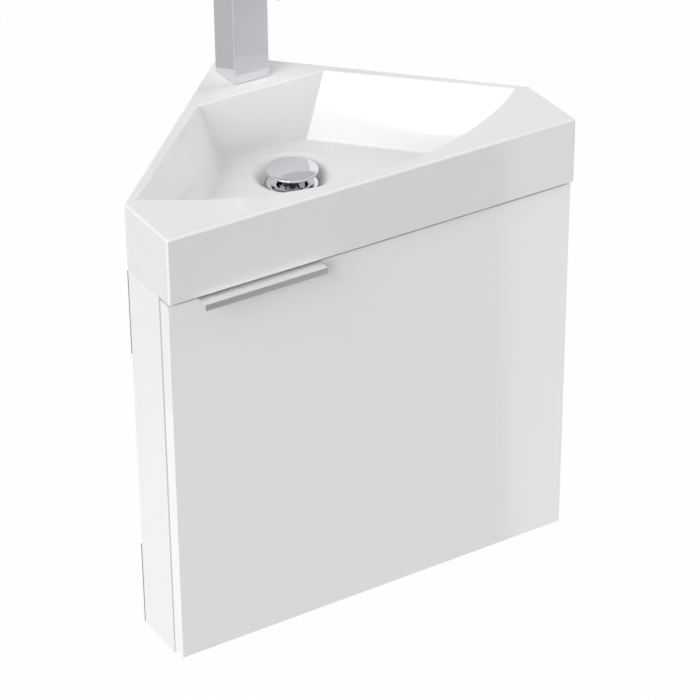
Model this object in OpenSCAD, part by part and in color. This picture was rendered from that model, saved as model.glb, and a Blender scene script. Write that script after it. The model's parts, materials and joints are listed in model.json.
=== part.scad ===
// Wall-hung corner vanity unit: a five-sided ceramic basin on a low cabinet with one door.
// X runs to the right along the front, -Y faces the user and +Z is up. The origin is on the
// line where the two room walls meet, level with the underside of the cabinet. The walls are
// the planes y = x and y = -x, for y below zero.

/* [Basin] */
// Width of the basin along its front
basin_w = 550; // [540:5:560]
// Length of the two short sides, square to the front
side_d = 100; // [96:1:104]
// Height of the apron round the basin
apron_h = 84.5; // [82:0.5:88]
// Thickness of the ceramic walls
ware_t = 10; // [9:0.5:10]
// Thickness of the flat deck that carries the tap
deck_t = 12; // [11:0.5:13]
// Radius of the outer edges of the basin
edge_r = 3; // [2:0.5:3.5]
// Leg of the small flat where the two back edges meet
corner_cut = 14; // [12:1:18]

/* [Bowl] */
// Width of the ledge between the back edges and the back corners of the bowl
ledge_w = 14.5; // [13:0.5:16]
// How much the ledge narrows towards the tips of the bowl, in degrees
ledge_taper = 1; // [0:0.1:1.2]
// Width of the front rim at its middle
rim_w = 14; // [13:0.5:16]
// Radius of the curved front rim, seen from above
rim_r = 415; // [405:5:425]
// Distance from the front of the basin to the back rim of the bowl
bowl_back = 267; // [264:0.5:268]
// Depth of the bowl
bowl_deep = 83.5; // [80:0.5:84]
// How far the bowl's two long walls lean in over that depth, at its back corners
wall_lean = 25; // [22:1:27]
// How much more they turn in towards the floor, in degrees
wall_twist = 2.4; // [0:0.2:3]
// How far the back wall leans in
back_lean = 6; // [5:1:8]
// How far the front wall leans in
front_lean = 48; // [44:2:52]
// Radius of the crease round the floor of the bowl
floor_r = 3; // [2:0.5:5]
// Radius of the upright creases between the bowl walls
crease_r = 2; // [2:0.5:4]

/* [Waste] */
// Distance from the front of the basin to the waste
waste_d = 197; // [195:1:200]
// Depth of the dish round the waste, below the floor of the bowl
dish_deep = 14; // [13:0.5:14.5]
// Radius of the dish
dish_r = 54; // [50:1:56]
// Diameter of the flange and of the cap
flange_d = 64; // [62:1:65]
// Outer diameter of the pipe thread on the waste
waste_thread_d = 41.9; // [41.8:0.05:42]
// How far the cap travels when it is pushed shut
cap_travel = 13; // [10:0.5:13]

/* [Tap] */
// Distance from the front of the basin to the middle of the tap
tap_d = 313.5; // [312:0.5:315]
// Width and depth of the square column
tap_w = 48; // [46:1:50]
// Height of the column above the deck
tap_h = 178; // [170:2:190]
// Reach of the spout in front of the column
spout_reach = 104; // [96:2:110]
// Height of the spout's section
spout_h = 22; // [20:1:24]
// Thickness of the lever plate
lever_t = 9; // [8:0.5:10]
// How far the lever plate stands in front of the column
lever_reach = 46; // [40:2:50]
// How far the lever lifts, in degrees
lever_lift = 20; // [16:1:22]

/* [Cabinet] */
// Height of the cabinet sides
cabinet_h = 500; // [480:10:520]
// How far the cabinet sides stand in from the sides of the basin
side_inset = 1.6; // [1:0.1:3]
// Thickness of the cabinet boards
board_t = 16; // [15:1:18]
// Height of the upper and lower back rails
rail_h = 115; // [105:1:120]
// Height of the rail behind the top of the door
front_rail_h = 58; // [50:2:60]
// Thickness of the steel wall plates behind the cabinet
plate_t = 1.5; // [1.5:0.1:2]
// Thickness of the foam strip under the basin
foam_t = 1.5; // [1:0.1:1.5]

/* [Door] */
// Thickness of the door
door_t = 19; // [18:0.5:19]
// Distance from the front of the basin to the front of the door
door_set = 5.5; // [4:0.5:7]
// Gap between the door and the front edges of the cabinet
door_gap = 4; // [4:0.1:5]
// Height of the door's lower edge above the underside of the cabinet
door_low = 7; // [5:1:9]
// Gap between the top of the door and the basin
door_top_gap = 4.5; // [4.5:0.1:5.5]
// Length of the edge handle
handle_l = 160; // [140:5:180]
// Distance from the left edge of the door to the handle
handle_set = 36.5; // [30:0.5:45]
// How far the handle stands out in front of the door
handle_out = 20; // [18:0.5:22]
// Height of the handle's turned-down lip
handle_lip = 8; // [7:0.5:9]
// Thickness of the handle profile
handle_t = 1.6; // [1.6:0.1:2]

/* [Hinges] */
// Height of the lower hinge above the underside of the cabinet
hinge_low = 92; // [80:2:100]
// Height of the upper hinge
hinge_high = 408; // [400:2:410]
// Diameter of the hinge cup
cup_d = 40; // [40:0.5:41]
// Depth of the hinge cup
cup_deep = 13; // [13:0.1:13.5]
// Distance from the door's edge to the hinge pin
pin_in = 8.5; // [8.3:0.1:8.6]
// Distance from the back of the door to the hinge pin
pin_deep = 9.5; // [9.3:0.1:9.6]

/* [Hidden] */
$fn = 64;

cut = 1;           // how far a cutting tool runs past the face that it cuts
thin = 0.02;       // thickness of one layer of a lofted form
fit = 0.05;        // clearance round a pin or a plug in its hole
root2 = sqrt(2);

// Basin and bowl
basin_d = basin_w / 2 + side_d;
corner_y = -plate_t * root2;
front_y = corner_y - basin_d;
apron_z = cabinet_h + foam_t;
top_z = apron_z + apron_h;
under_edge_r = 1.5;
rim_edge_r = 2;
arc_step = 18;
bowl_z = top_z - bowl_deep;

// Waste
waste_y = front_y + waste_d;
seat_r = flange_d / 2 + 1;
dish_z = bowl_z - dish_deep;
seat_deep = 1.5;
seat_z = dish_z - seat_deep;
waste_hole_r = 23;
boss_r = 40;
boss_z = seat_z - 12;
boss_foot_h = 8;
boss_cone_h = 14;
seal_t = 1;
flange_z = seat_z + seal_t;
flange_top_z = flange_z + 2.8;
flange_edge_r = 1.1;
flange_crest_r = 27;
flange_lip_z = flange_z - 3;
tube_r = waste_thread_d / 2;
tube_bore_r = 18.2;
tube_end_z = boss_z - 46;
under_seal_h = 4;
nut_h = 9;
nut_across = 55;
nut_z = boss_z - under_seal_h - nut_h;
cap_r = flange_d / 2;
cap_z = flange_top_z + cap_travel + 0.6;
cap_edge_z = cap_z + 3.4;
cap_rise = 3;
stem_r = 4;
latch_r = 8;
latch_top_z = flange_z - 8;
latch_h = 26;

// Tap
tap_y = front_y + tap_d;
tap_hole_r = 17.5;
tap_edge_r = 1;
base_seal_t = 0.4;
tap_z = top_z + base_seal_t;
tap_top_z = tap_z + tap_h;
tap_front_y = tap_y - tap_w / 2;
spout_w = 44;
spout_tip_y = tap_front_y - spout_reach;
spout_z = tap_top_z - 3 - spout_h;
aerator_r = 11;
aerator_y = spout_tip_y + 15;
cartridge_r = 17.4;
cartridge_h = 34;
cartridge_ring_h = 5;
cartridge_top_z = tap_top_z - cartridge_ring_h;
rotor_r = 11;
rotor_h = 9;
lift_z = cartridge_top_z - 3;
well_r = 9.6;
well_h = 14;
spindle_w = 8;
spindle_d = 7;
grub_r = 1.2;
grub_up = 1.6;
lever_gap = 2;
lever_lip = 3;
spindle_in = 5;
lever_z = tap_top_z + lever_gap;
stud_r = 4;
stud_y = tap_y + 10;
inlet_r = 4.25;
inlet_deep = 14;
inlet_x = 7.5;
inlet_y = tap_y - 5.5;
clamp_t = 4;

// Cabinet
side_x = basin_w / 2 - side_inset;
inner_x = side_x - board_t;
door_y = front_y + door_set;
door_back_y = door_y + door_t;
panel_y = door_back_y + door_gap;
plate_l = 130;
plate_set = 4;
wall_hole_r = 4.5;
wall_hole_u = 285;
plate_screw_r = 1.85;
plate_screw_l = 9;
plate_screw_head_r = 3.25;
dowel_r = 4;
dowel_l = 22;
cam_r = 7.5;
cam_h = 12.5;
cam_bolt_r = 3;
cam_in = 34;

// Door and hinges
door_top_z = apron_z - door_top_gap;
handle_x = -side_x + handle_set;
handle_seat = 15;
pin_x = side_x - pin_in;
pin_y = door_back_y - pin_deep;
cup_x = side_x - cup_d / 2 - 4;
cup_wall = 0.8;
cup_flange_t = 1.2;
cup_screw_in = 9;
cup_screw_up = 26;
pin_r = 1.5;
knuckle_r = 2.4;
knuckle_w = 9.4;
neck_t = 2.8;
neck_in = 13.5;
neck_back = 22;
hinge_plate_y = panel_y + 37;
hinge_plate_t = 6;
hinge_hole_pitch = 32;
arm_screw_y = hinge_plate_y + 9;
buffer_z = [40, 460];

// Colours
ware_white = [0.95, 0.95, 0.95];
lacquer_white = [0.93, 0.93, 0.92];
board_white = [0.9, 0.9, 0.88];
chrome_grey = [0.78, 0.79, 0.81];
steel_grey = [0.55, 0.56, 0.58];
dark_steel = [0.3, 0.3, 0.31];
satin_grey = [0.75, 0.75, 0.73];
rubber_black = [0.1, 0.1, 0.1];
brass_yellow = [0.75, 0.62, 0.35];
plastic_grey = [0.6, 0.6, 0.6];
beech = [0.78, 0.62, 0.42];

// ---- Shared shapes ----

// The five-sided plan of the basin with its small corner flat, moved in by i on every side
function basin_plan(i) =
    let (hw = basin_w / 2 - i,
         back = corner_y - i * root2,
         flat = corner_cut - i * (root2 - 1))
    [[-hw, front_y + i], [hw, front_y + i], [hw, back - hw],
     [flat, back - flat], [-flat, back - flat], [-hw, back - hw]];

// A thin layer of the basin's outer form, with round upright edges
module basin_layer(z, i) {
    translate([0, 0, z]) linear_extrude(thin)
        offset(r = edge_r, $fn = 32) polygon(basin_plan(i + edge_r));
}

// A thin layer of the bowl at a share k of its depth, moved in by i.
// The long walls run along the back edges, the back is straight and the front is an arc.
module bowl_layer(z, k, i, r) {
    e = ledge_w + wall_lean * k + i;
    back = front_y + bowl_back - back_lean * k - i;
    half = basin_d - e * root2 - (bowl_back - back_lean * k - i);
    wide = basin_w / 2 + 40;
    wide_y = back - (wide - half) * tan(45 - ledge_taper + wall_twist * k);
    translate([0, 0, z]) linear_extrude(thin)
        offset(r = r, $fn = 24) offset(delta = -r) intersection() {
            polygon([[-half, back], [half, back],
                     [wide, wide_y], [wide, front_y - 50],
                     [-wide, front_y - 50], [-wide, wide_y]]);
            translate([0, front_y + rim_w + rim_r])
                circle(rim_r - front_lean * k - i, $fn = 160);
        }
}

// A rectangle with round corners, centred on the origin
module round_rect(w, d, r) {
    square([w - 2 * r, d], center = true);
    square([w, d - 2 * r], center = true);
    for (x = [-1, 1], y = [-1, 1])
        translate([x * (w / 2 - r), y * (d / 2 - r)]) circle(r, $fn = 24);
}

// A board standing on its long edge against a wall: local X runs along the wall from the
// corner of the room and local -Y points into the cabinet
module on_wall(side) {
    mirror([side < 0 ? 1 : 0, 0, 0]) rotate(-45) children();
}

// A countersunk screw that points down, with the top of its head at the origin
module sunk_screw(r, l, head_r) {
    difference() {
        union() {
            mirror([0, 0, 1]) cylinder(r1 = head_r, r2 = r, h = head_r - r);
            translate([0, 0, -l]) cylinder(r = r, h = l - 0.5);
            translate([0, 0, -l - r]) cylinder(r1 = 0.3, r2 = r, h = r);
        }
        translate([0, 0, -0.8]) cylinder(r = r * 0.7, h = cut + 0.8, $fn = 6);
    }
}

// The room that the same screw needs
module sunk_hole(r, l, head_r) {
    translate([0, 0, -(head_r - r)]) cylinder(r1 = r, r2 = head_r, h = head_r - r);
    translate([0, 0, -0.01]) cylinder(r = head_r, h = cut);
    translate([0, 0, -l - r]) cylinder(r = r, h = l + r);
}

// A pan-head screw that points down, with the underside of its head at the origin
module pan_screw(r, l) {
    difference() {
        union() {
            cylinder(r1 = r * 1.9, r2 = r * 1.5, h = r * 1.1);
            translate([0, 0, -l]) cylinder(r = r, h = l + 0.1);
        }
        translate([0, 0, r * 0.4]) cylinder(r = r * 0.7, h = r, $fn = 6);
    }
}

// ---- Basin ----

module basin_outside() {
    hull() {
        for (a = [0 : arc_step : 90])
            basin_layer(top_z - edge_r * (1 - cos(a)) - thin, edge_r * (1 - sin(a)));
        basin_layer(apron_z + under_edge_r, 0);
        basin_layer(apron_z, under_edge_r);
    }
}

// The whole bowl as a solid: straight leaning walls and a round crease at the floor
module bowl_space(grow) {
    d = bowl_deep;
    hull() {
        bowl_layer(top_z + (grow > 0 ? -deck_t : 0), 0, -grow, crease_r);
        for (a = [0 : arc_step : 90])
            let (depth = d - floor_r * (1 - sin(a)))
            bowl_layer(top_z - depth - grow, depth / d, floor_r * (1 - cos(a)) - grow,
                       crease_r);
    }
}

// The smooth dish that leads the water from the flat floor over a round edge to the waste
module dish_space() {
    translate([0, waste_y, 0]) rotate_extrude($fn = 96)
        polygon(concat(
            [[0, bowl_z + 3], [0, dish_z]],
            [for (t = [0 : 0.1 : 1])
                [seat_r + (dish_r - seat_r) * t, dish_z + dish_deep * sin(90 * t)]],
            [[dish_r, bowl_z + 3]]));
}

module basin() {
    color(ware_white) difference() {
        union() {
            difference() {
                basin_outside();
                translate([0, 0, apron_z - cut]) linear_extrude(apron_h - deck_t + cut)
                    polygon(basin_plan(ware_t));
            }
            intersection() {
                bowl_space(ware_t - 1);
                translate([0, 0, boss_z]) linear_extrude(top_z - boss_z - 4)
                    polygon(basin_plan(edge_r));
            }
            translate([0, waste_y, boss_z]) cylinder(r = boss_r, h = bowl_z - boss_z);
            translate([0, waste_y, boss_z + boss_foot_h])
                cylinder(r1 = boss_r, r2 = dish_r + 6, h = boss_cone_h);
        }
        bowl_space(0);
        // the soft edge round the rim of the bowl
        hull() {
            bowl_layer(top_z, 0, -rim_edge_r, crease_r + rim_edge_r);
            bowl_layer(top_z - rim_edge_r * 0.3, 0, -rim_edge_r * 0.3, crease_r);
            bowl_layer(top_z - rim_edge_r, 0, 0, crease_r);
        }
        dish_space();
        translate([0, waste_y, seat_z]) cylinder(r = seat_r, h = bowl_deep);
        translate([0, waste_y, boss_z - cut]) cylinder(r = waste_hole_r, h = bowl_deep);
        translate([0, tap_y, top_z - deck_t - cut]) cylinder(r = tap_hole_r, h = deck_t + 2 * cut);
    }
}

// Closed-cell foam between the cabinet and the basin, open at the front
module basin_foam() {
    color(plastic_grey) translate([0, 0, cabinet_h]) linear_extrude(foam_t) difference() {
        polygon(basin_plan(side_inset + 1));
        polygon(basin_plan(ware_t - 1.5));
        translate([-basin_w / 2, front_y - cut]) square([basin_w, panel_y - front_y + cut]);
    }
}

// ---- Waste ----

// Chromed flange with a crowned face and a round lip that leads into its threaded tube. A groove
// parts the thread that takes the trap from the thread that takes the nut.
module waste_flange() {
    edge_z = flange_z + flange_edge_r;
    crown = flange_d / 2 - flange_crest_r;
    lip = flange_crest_r - tube_bore_r;
    groove = 0.6;
    groove_z = nut_z - 3;
    color(chrome_grey) translate([0, waste_y, 0]) rotate_extrude($fn = 96) polygon(concat(
        [[tube_bore_r, tube_end_z], [tube_r - 1, tube_end_z], [tube_r, tube_end_z + 1],
         [tube_r, groove_z], [tube_r - groove, groove_z + groove],
         [tube_r - groove, groove_z + 2 * groove], [tube_r, groove_z + 3 * groove],
         [tube_r, flange_z - 2], [tube_r + 1, flange_z]],
        [for (a = [-90 : arc_step : -18])
            [flange_d / 2 - flange_edge_r * (1 - cos(a)), edge_z + flange_edge_r * sin(a)]],
        [for (a = [0 : arc_step : 72])
            [flange_crest_r + crown * cos(a), edge_z + (flange_top_z - edge_z) * sin(a)]],
        [for (a = [90 : arc_step : 180])
            [flange_crest_r + lip * cos(a),
             flange_lip_z + (flange_top_z - flange_lip_z) * sin(a)]]));
}

// Flat rubber ring between the flange and its seat
module waste_top_seal() {
    color(rubber_black) translate([0, waste_y, seat_z]) difference() {
        cylinder(r = flange_d / 2 - 2, h = seal_t);
        translate([0, 0, -cut]) cylinder(r = waste_hole_r, h = seal_t + 2 * cut);
    }
}

// Rubber ring under the basin
module waste_under_seal() {
    color(rubber_black) translate([0, waste_y, boss_z - under_seal_h]) difference() {
        cylinder(r1 = boss_r - 9, r2 = boss_r - 6, h = under_seal_h);
        translate([0, 0, -cut]) cylinder(r = tube_r + fit, h = under_seal_h + 2 * cut);
    }
}

module waste_nut() {
    across = nut_across / cos(30) / 2;
    color(brass_yellow) translate([0, waste_y, nut_z]) difference() {
        union() {
            cylinder(r = across, h = nut_h - 2, $fn = 6);
            cylinder(r = nut_across / 2 + 1, h = nut_h);
        }
        translate([0, 0, -cut]) cylinder(r = tube_r + fit, h = nut_h + 2 * cut);
    }
}

// Three-armed spider that holds the latch in the middle of the tube
module waste_spider() {
    h = 5;
    z = latch_top_z - latch_h + 4;
    color(chrome_grey) translate([0, waste_y, z]) difference() {
        union() {
            cylinder(r = latch_r + 2, h = h);
            for (a = [90 : 120 : 330])
                rotate(a) translate([latch_r, -1.5, 0]) cube([tube_bore_r - latch_r - 1, 3, h]);
            difference() {
                cylinder(r = tube_bore_r - fit, h = h);
                translate([0, 0, -cut]) cylinder(r = tube_bore_r - 2, h = h + 2 * cut);
            }
        }
        translate([0, 0, -cut]) cylinder(r = latch_r + fit, h = h + 2 * cut);
    }
}

// Push-push latch: the housing stays and the stem slides in it
module waste_latch() {
    color(plastic_grey) translate([0, waste_y, latch_top_z - latch_h]) difference() {
        union() {
            cylinder(r = latch_r, h = latch_h);
            translate([0, 0, 9 + fit]) cylinder(r = latch_r + 1.5, h = 2);
            translate([0, 0, latch_h - 2]) cylinder(r1 = latch_r, r2 = latch_r - 1.5, h = 2);
        }
        translate([0, 0, 3]) cylinder(r = stem_r + fit, h = latch_h);
    }
}

module waste_stem() {
    low = latch_top_z - 8;
    color(chrome_grey) translate([0, waste_y, low]) {
        cylinder(r = stem_r, h = cap_z + 1 - low);
        // the collar stays above the latch when the cap is down
        translate([0, 0, 9 + cap_travel]) cylinder(r = stem_r + 1.2, h = 2);
    }
}

// Low domed cap with a rolled edge
module waste_cap() {
    lip = (cap_edge_z - cap_z) / 2;
    dome_r = (cap_r * cap_r + cap_rise * cap_rise) / (2 * cap_rise);
    color(chrome_grey) translate([0, waste_y, 0]) difference() {
        rotate_extrude($fn = 96) polygon(concat(
            [[0, cap_z]],
            [for (a = [-90 : arc_step : 54])
                [cap_r - lip + lip * cos(a), cap_z + lip + lip * sin(a)]],
            [for (t = [0.9 : -0.1 : 0])
                let (r = cap_r * t)
                [r, cap_edge_z + sqrt(dome_r * dome_r - r * r) - (dome_r - cap_rise)]]));
        translate([0, 0, cap_z - cut]) cylinder(r = stem_r + fit, h = 1 + fit + cut);
    }
}

// Rubber ring that closes the gap between the cap and the flange
module waste_cap_seal() {
    h = 0.4;
    color(rubber_black) translate([0, waste_y, cap_z - h]) difference() {
        cylinder(r = 27, h = h);
        translate([0, 0, -cut]) cylinder(r = 24, h = h + 2 * cut);
    }
}

// ---- Tap ----

// Square column with a level square spout at the top
module tap_body() {
    color(chrome_grey) difference() {
        union() {
            translate([0, tap_y, tap_z]) linear_extrude(tap_h)
                round_rect(tap_w, tap_w, tap_edge_r);
            translate([0, (spout_tip_y + tap_y) / 2, spout_z]) linear_extrude(spout_h)
                round_rect(spout_w, tap_y - spout_tip_y, tap_edge_r);
        }
        translate([0, tap_y, cartridge_top_z - cartridge_h])
            cylinder(r = cartridge_r + fit, h = cartridge_h + cartridge_ring_h + cut);
        translate([0, aerator_y, spout_z - cut]) cylinder(r = aerator_r + fit, h = 9 + cut);
        for (x = [-inlet_x, inlet_x])
            translate([x, inlet_y, tap_z - cut]) cylinder(r = inlet_r, h = inlet_deep + cut);
        translate([0, stud_y, tap_z - cut]) cylinder(r = stud_r + fit, h = inlet_deep + cut);
    }
}

module tap_base_seal() {
    color(rubber_black) translate([0, tap_y, top_z]) linear_extrude(base_seal_t) difference() {
        round_rect(tap_w - 2, tap_w - 2, tap_edge_r);
        circle(tap_hole_r + 1);
    }
}

module tap_stud() {
    low = top_z - deck_t - 24;
    color(steel_grey) translate([0, stud_y, low]) cylinder(r = stud_r, h = tap_z + 12 - low);
}

// Horseshoe plate that clamps the tap from under the deck, open towards the front for the hoses
module tap_clamp() {
    slot_r = 13;
    slot_y = -8;
    color(steel_grey) translate([0, tap_y, top_z - deck_t - clamp_t]) linear_extrude(clamp_t)
        difference() {
            circle(tap_hole_r + 5);
            translate([0, slot_y]) circle(slot_r);
            translate([-slot_r, slot_y - 2 * slot_r]) square(2 * slot_r);
            translate([0, stud_y - tap_y]) circle(stud_r + fit);
        }
}

module tap_nut() {
    h = 7;
    color(brass_yellow) translate([0, stud_y, top_z - deck_t - clamp_t - h]) difference() {
        cylinder(r = 7.5, h = h, $fn = 6);
        translate([0, 0, -cut]) cylinder(r = stud_r + fit, h = h + 2 * cut);
    }
}

// Insert in the spout that gives an even stream
module tap_aerator() {
    color(plastic_grey) translate([0, aerator_y, spout_z - 0.6]) difference() {
        cylinder(r = aerator_r, h = 9);
        translate([0, 0, -cut]) cylinder(r = aerator_r - 2, h = 3 + cut);
        for (ring = [3, 6.5], a = [0 : (ring > 4 ? 30 : 60) : 359])
            rotate(a) translate([ring, 0, -cut]) cylinder(r = 0.9, h = 12 + 2 * cut, $fn = 16);
    }
}

// Ceramic-disc cartridge: its lever rotor turns in the top
module tap_cartridge() {
    color(plastic_grey) translate([0, tap_y, cartridge_top_z - cartridge_h]) difference() {
        cylinder(r = cartridge_r, h = cartridge_h);
        translate([0, 0, cartridge_h - rotor_h - 0.3]) cylinder(r = rotor_r + fit, h = rotor_h + 2);
        // the well in which the spindle's foot swings
        translate([0, 0, cartridge_h - rotor_h - well_h]) cylinder(r = well_r, h = well_h + 2);
    }
}

module tap_cartridge_ring() {
    color(brass_yellow) translate([0, tap_y, cartridge_top_z]) difference() {
        cylinder(r = cartridge_r, h = cartridge_ring_h - 0.5);
        translate([0, 0, -cut]) cylinder(r = rotor_r - 1, h = cartridge_ring_h + 2 * cut);
    }
}

// Rotor with a slot for the lever spindle
module tap_rotor() {
    color(plastic_grey) translate([0, tap_y, cartridge_top_z - rotor_h]) difference() {
        cylinder(r = rotor_r, h = rotor_h - 0.3);
        translate([-spindle_w / 2 - 0.4, -rotor_r + 2, -cut])
            cube([spindle_w + 0.8, 2 * rotor_r - 4, rotor_h + 2 * cut]);
        translate([-rotor_r, 0, lift_z - cartridge_top_z + rotor_h]) rotate([0, 90, 0])
            cylinder(r = pin_r, h = 2 * rotor_r);
    }
}

module tap_rotor_pin() {
    l = 2 * rotor_r - 2;
    color(steel_grey) translate([-l / 2, tap_y, lift_z]) rotate([0, 90, 0])
        cylinder(r = pin_r, h = l);
}

// Spindle that works the discs, pinned in the rotor, with the lever on top
module tap_spindle() {
    low = lift_z - 13;
    color(steel_grey) difference() {
        union() {
            translate([-spindle_w / 2, tap_y - spindle_d / 2, low])
                cube([spindle_w, spindle_d, lever_z + spindle_in - low]);
            translate([-spindle_w / 2, tap_y, lift_z]) rotate([0, 90, 0])
                cylinder(r = 4.5, h = spindle_w);
        }
        translate([-spindle_w, tap_y, lift_z]) rotate([0, 90, 0])
            cylinder(r = pin_r + fit, h = 2 * spindle_w);
    }
}

// Flat square lever; its underside rises towards the back, so that it can tip
module tap_lever() {
    hw = tap_w / 2;
    wedge_y = 3;
    color(chrome_grey) difference() {
        translate([0, tap_y - lever_reach / 2, lever_z]) linear_extrude(lever_t + lever_lip)
            round_rect(tap_w, tap_w + lever_reach, tap_edge_r);
        // the wedge under the back half
        translate([-hw - cut, tap_y, lever_z]) rotate([90, 0, 90]) linear_extrude(tap_w + 2 * cut)
            polygon([[wedge_y, -cut], [hw + cut, -cut],
                     [hw + cut, (hw + cut - wedge_y) * tan(lever_lift)], [wedge_y, 0]]);
        // the underside of the paddle steps up in front of the column
        translate([-hw - cut, tap_front_y - lever_reach - cut, lever_z - cut])
            cube([tap_w + 2 * cut, lever_reach - 2, lever_lip + cut]);
        translate([-spindle_w / 2 - fit, tap_y - spindle_d / 2 - fit, lever_z - cut])
            cube([spindle_w + 2 * fit, spindle_d + 2 * fit, spindle_in + fit + cut]);
        translate([0, tap_y, lever_z + grub_up]) rotate([90, 0, 0])
            cylinder(r = grub_r, h = hw + lever_reach, $fn = 24);
    }
}

// Grub screw, reached from the step under the front of the lever
module tap_lever_screw() {
    l = 5;
    color(steel_grey)
        translate([0, tap_y - spindle_d / 2 - fit, lever_z + grub_up]) rotate([90, 0, 0])
        difference() {
            cylinder(r = grub_r, h = l);
            translate([0, 0, l - 2]) cylinder(r = grub_r / 2, h = 2 + cut, $fn = 6);
        }
}

// ---- Cabinet ----

// Where every dowel lies. The same places serve the dowels and their holes.
module dowel_places() {
    for (side = [-1, 1]) {
        // bottom board and front rail to the sides
        for (p = [[panel_y + 14, board_t / 2], [panel_y + 50, board_t / 2],
                  [panel_y + board_t / 2, cabinet_h - 14],
                  [panel_y + board_t / 2, cabinet_h - front_rail_h + 12]])
            translate([side * inner_x, p[0], p[1]]) rotate([0, 90, 0]) children();
        // bottom board to the lower back rails
        for (u = [110, 250])
            on_wall(side) translate([u, -plate_t - board_t, board_t / 2]) rotate([90, 0, 0])
                children();
    }
}

// A beech dowel with chamfered ends
module dowel() {
    chamfer = 1;
    for (end = [-1, 1]) rotate([end < 0 ? 180 : 0, 0, 0]) {
        cylinder(r = dowel_r, h = dowel_l / 2 - chamfer);
        translate([0, 0, dowel_l / 2 - chamfer])
            cylinder(r1 = dowel_r, r2 = dowel_r - chamfer, h = chamfer);
    }
}

module dowels() {
    color(beech) dowel_places() dowel();
}

module dowel_holes() {
    dowel_places() cylinder(r = dowel_r + fit, h = dowel_l + 1, center = true);
}

// Cam discs in the boards and the bolts that they pull
module cam_places() {
    for (side = [-1, 1]) {
        translate([side * (inner_x - cam_in), panel_y + 32, 0]) children(0);
        translate([side * (inner_x - cam_in), panel_y + board_t, cabinet_h - front_rail_h / 2])
            rotate([90, 0, 0]) children(0);
    }
}

module cam_bolt_places() {
    for (side = [-1, 1]) {
        translate([side * inner_x, panel_y + 32, board_t / 2]) rotate([0, side * 90, 0]) children();
        translate([side * inner_x, panel_y + board_t / 2, cabinet_h - front_rail_h / 2])
            rotate([0, side * 90, 0]) children();
    }
}

module cam_discs() {
    color(steel_grey) cam_places() difference() {
        cylinder(r = cam_r - fit, h = cam_h);
        translate([0, 0, -cut]) cylinder(r = 3, h = 3 + cut, $fn = 6);
        translate([0, 0, board_t / 2]) rotate([0, 90, 0])
            cylinder(r = cam_bolt_r + 0.8, h = 3 * cam_r, center = true);
    }
}

module cam_holes() {
    cam_places() translate([0, 0, -cut]) cylinder(r = cam_r, h = cam_h + fit + cut);
}

module cam_bolt(r, spare) {
    translate([0, 0, -cam_in + 2 - spare]) cylinder(r = r, h = cam_in - 2 + 10 + 2 * spare);
}

module cam_bolts() {
    color(steel_grey) cam_bolt_places() cam_bolt(cam_bolt_r, 0);
}

module cam_bolt_holes() {
    cam_bolt_places() cam_bolt(cam_bolt_r + fit, fit);
}

// Pilot holes for the hinge plates
module hinge_screw_places() {
    for (z = [hinge_low, hinge_high], k = [-1, 1])
        translate([inner_x, hinge_plate_y, z + k * hinge_hole_pitch / 2]) rotate([0, -90, 0])
            children();
}

// Where the wall plates are screwed: into the edge of a side and into a rail.
// The screws point into the cabinet from the wall.
module plate_screw_places() {
    for (side = [-1, 1], z0 = [plate_set, cabinet_h - rail_h], u = [-8, -40], k = [0.25, 0.75])
        on_wall(side) translate([side_x * root2 + u, 0, z0 + (rail_h - plate_set) * k])
            rotate([-90, 0, 0]) children();
}

module plate_screw_pilot() {
    sunk_hole(plate_screw_r + fit, plate_screw_l + 1, plate_screw_r + 2 * fit);
}

module side_board(side) {
    m = side < 0 ? 1 : 0;
    color(board_white) difference() {
        mirror([m, 0, 0]) linear_extrude(cabinet_h)
            polygon([[inner_x, panel_y], [side_x, panel_y],
                     [side_x, corner_y - side_x], [inner_x, corner_y - inner_x]]);
        dowel_holes();
        cam_bolt_holes();
        plate_screw_places() plate_screw_pilot();
        if (side > 0) hinge_screw_places() translate([0, 0, -11]) cylinder(r = 2.5, h = 11 + cut);
    }
}

module side_left() { side_board(-1); }
module side_right() { side_board(1); }

module bottom_board() {
    back = corner_y - board_t * root2;
    color(board_white) difference() {
        linear_extrude(board_t)
            polygon([[-inner_x, panel_y], [inner_x, panel_y], [inner_x, back - inner_x],
                     [0, back], [-inner_x, back - inner_x]]);
        dowel_holes();
        cam_holes();
        cam_bolt_holes();
    }
}

module front_rail() {
    color(board_white) difference() {
        translate([-inner_x, panel_y, cabinet_h - front_rail_h])
            cube([2 * inner_x, board_t, front_rail_h]);
        dowel_holes();
        cam_holes();
        cam_bolt_holes();
    }
}

// A back rail. The right one runs into the corner and the left one butts against it.
module back_rail(side, z) {
    start = plate_t + (side < 0 ? board_t : 0);
    end = inner_x * root2 + plate_t;
    color(board_white) difference() {
        on_wall(side) translate([0, 0, z]) linear_extrude(rail_h)
            polygon([[start, -plate_t], [end, -plate_t],
                     [end + board_t, -plate_t - board_t], [start, -plate_t - board_t]]);
        dowel_holes();
        plate_screw_places() plate_screw_pilot();
        on_wall(side) translate([wall_hole_u, 0, z + rail_h / 2]) rotate([90, 0, 0])
            cylinder(r = wall_hole_r, h = board_t + plate_t + cut);
    }
}

module upper_rail_left() { back_rail(-1, cabinet_h - rail_h); }
module upper_rail_right() { back_rail(1, cabinet_h - rail_h); }
module lower_rail_left() { back_rail(-1, 0); }
module lower_rail_right() { back_rail(1, 0); }

// Steel plate behind the cabinet. It ties a rail to a side and takes one wall screw.
module wall_plate(side, z, h) {
    color(dark_steel) difference() {
        on_wall(side) translate([side_x * root2 - plate_l, -plate_t, z]) cube([plate_l, plate_t, h]);
        plate_screw_places()
            sunk_hole(plate_screw_r + fit, plate_screw_l + 1, plate_screw_head_r + fit);
        on_wall(side) translate([wall_hole_u, cut, z + rail_h / 2]) rotate([90, 0, 0])
            cylinder(r = wall_hole_r, h = plate_t + 2 * cut);
    }
}

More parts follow.
